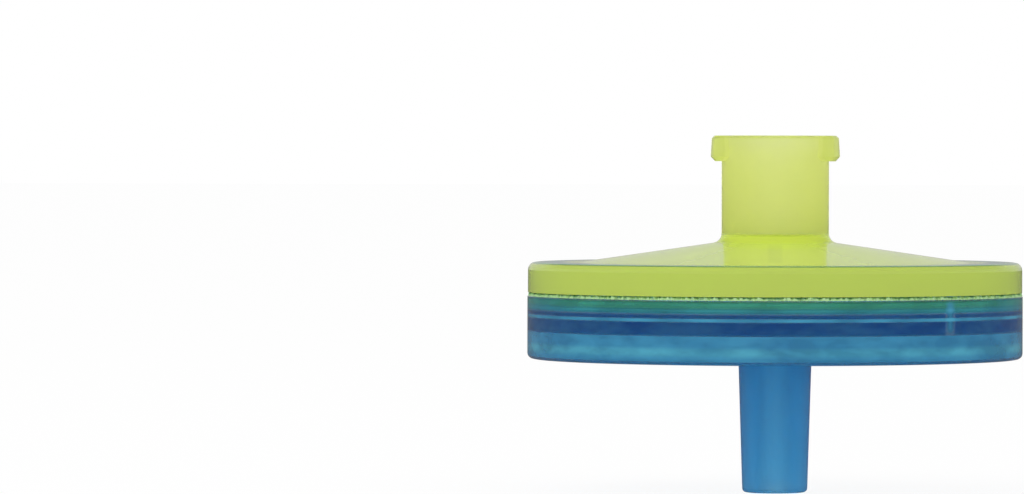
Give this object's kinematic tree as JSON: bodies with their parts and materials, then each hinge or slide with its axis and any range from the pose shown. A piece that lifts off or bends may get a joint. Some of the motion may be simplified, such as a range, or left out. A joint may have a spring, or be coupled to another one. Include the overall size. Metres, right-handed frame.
{
  "type": "syringe filter",
  "caption": "Round disc filter for a syringe: conical roof with a lugged female Luer hub above, skirted floor with a male Luer nozzle below, membrane welded between.",
  "frame": {"origin": "centre of the flat end of the outlet nozzle, which is also the middle of the object's underside box face", "axes": "+Z along the flow axis, from the outlet nozzle up to the inlet hub; +X through the middle of one lock lug"},
  "size_m": [0.03, 0.03, 0.0216],
  "materials": {
    "lime_plastic": "translucent yellow-green polypropylene, smooth",
    "blue_plastic": "translucent blue polypropylene, smooth",
    "membrane_white": "white microporous sheet"
  },
  "bodies": {
    "root": {"inlet_housing": "lime_plastic", "filter_membrane": "membrane_white", "outlet_housing": "blue_plastic"}
  },
  "joints": []
}
